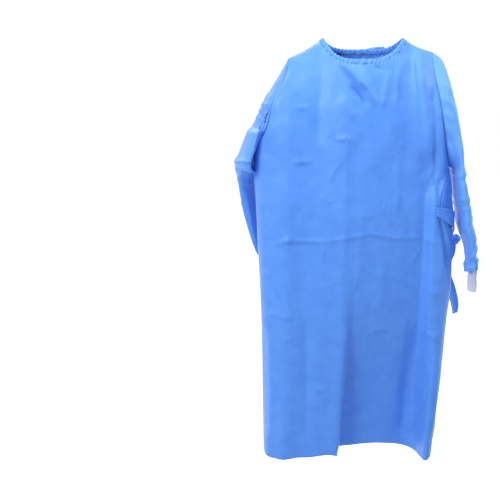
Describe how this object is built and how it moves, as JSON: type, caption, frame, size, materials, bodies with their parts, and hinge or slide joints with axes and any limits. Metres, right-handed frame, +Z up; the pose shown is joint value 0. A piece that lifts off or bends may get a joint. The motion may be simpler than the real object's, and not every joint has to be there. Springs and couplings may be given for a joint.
{
  "type": "surgical gown",
  "caption": "Long-sleeved surgical gown of thin nonwoven cloth, hanging hollow, tied at the back of the neck and at the waist, with knitted cuffs.",
  "frame": {"origin": "the middle of the line between the two neck points, where the gown is held up", "axes": "+Z up along the gown's length, -Y the way its front faces, +X the wearer's left"},
  "size_m": [0.6986, 0.2269, 1.1993],
  "materials": {
    "nonwoven_blue": "thin spunbond nonwoven with a fine bonded dot pattern and a faint sheen",
    "strap_blue": "folded nonwoven strip",
    "knit_white": "ribbed knit, matt"
  },
  "bodies": {
    "root": {"front_panel": "nonwoven_blue", "back_panel_left": "nonwoven_blue", "back_panel_right": "nonwoven_blue", "sleeve_left": "nonwoven_blue", "sleeve_right": "nonwoven_blue", "cuff_left": "knit_white", "cuff_right": "knit_white", "neck_casing": "nonwoven_blue", "neck_knot": "strap_blue", "neck_string_long": "strap_blue", "neck_string_short": "strap_blue", "neck_string_bow": "strap_blue", "belt_strap_left": "strap_blue", "belt_strap_right": "strap_blue", "belt_knot": "strap_blue", "belt_tail_short": "strap_blue", "belt_tail_long": "strap_blue"}
  },
  "joints": []
}
